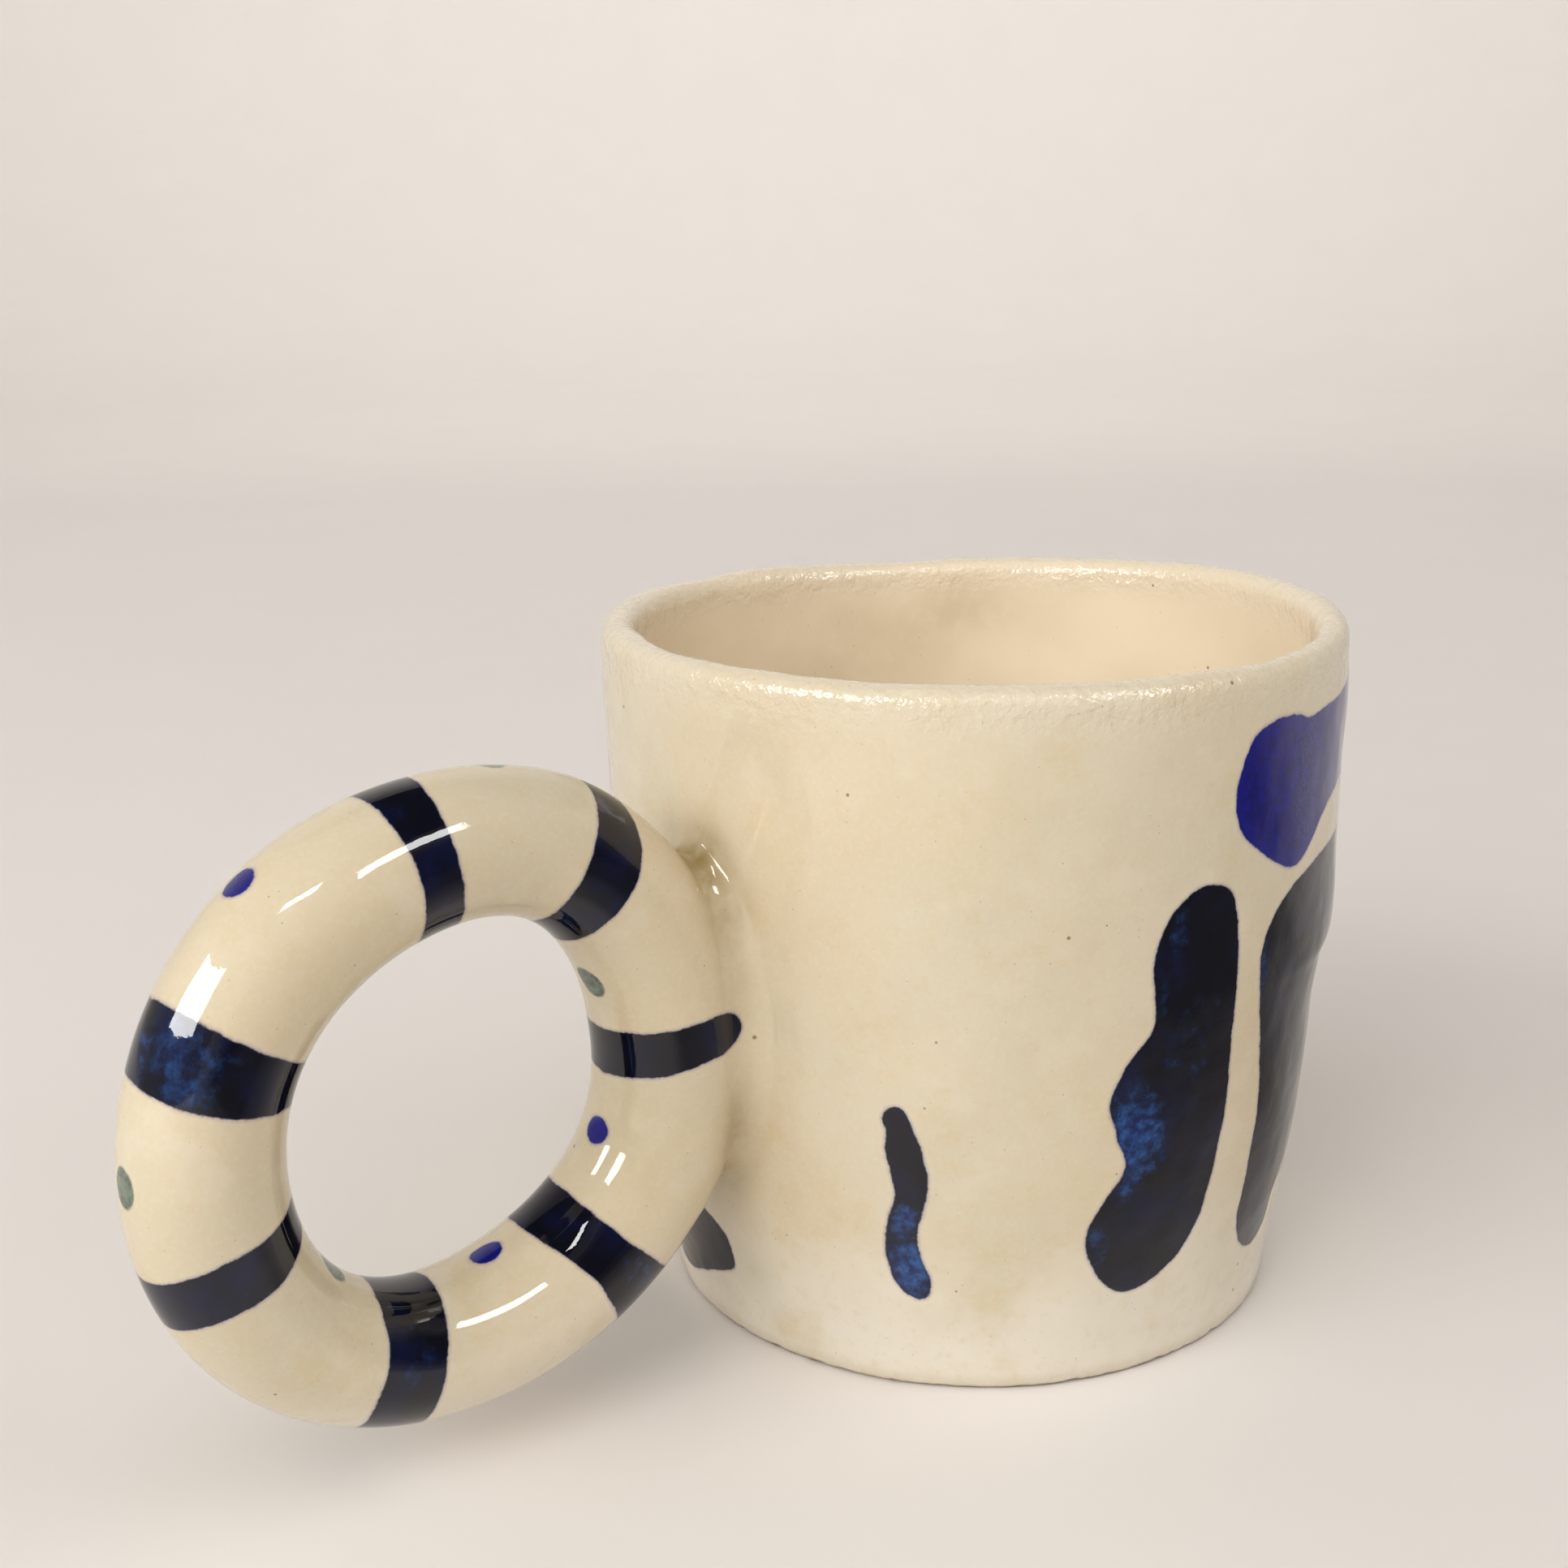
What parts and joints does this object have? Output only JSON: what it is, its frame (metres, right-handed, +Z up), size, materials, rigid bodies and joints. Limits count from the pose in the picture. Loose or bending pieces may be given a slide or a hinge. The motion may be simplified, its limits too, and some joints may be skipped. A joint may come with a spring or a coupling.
{
  "type": "stoneware mug",
  "caption": "Slab-built glazed stoneware mug with a full round ring handle, painted with bold underglaze blobs and bands.",
  "frame": {"origin": "centre of the foot, on the surface that the mug stands on", "axes": "+Z up along the cup's axis, -X towards the ring handle, -Y the painted front when the handle is on the left"},
  "size_m": [0.1588, 0.092, 0.085],
  "materials": {
    "floor_clay": "glazed inside, bare matt stoneware under the foot",
    "wall_glaze": "clear gloss glaze over warm cream stoneware with navy and cobalt underglaze marks",
    "inside_glaze": "clear gloss glaze over warm cream stoneware",
    "ring_glaze": "clear gloss glaze with navy bands and blue and green dots",
    "joint_glaze": "gloss glaze pooled thick and slightly olive in the crease"
  },
  "bodies": {
    "root": {"floor_slab": "floor_clay", "wall": "wall_glaze", "corner_coil": "inside_glaze", "ring_handle": "ring_glaze", "luting_coil_front": "joint_glaze", "luting_coil_back": "joint_glaze"}
  },
  "joints": []
}
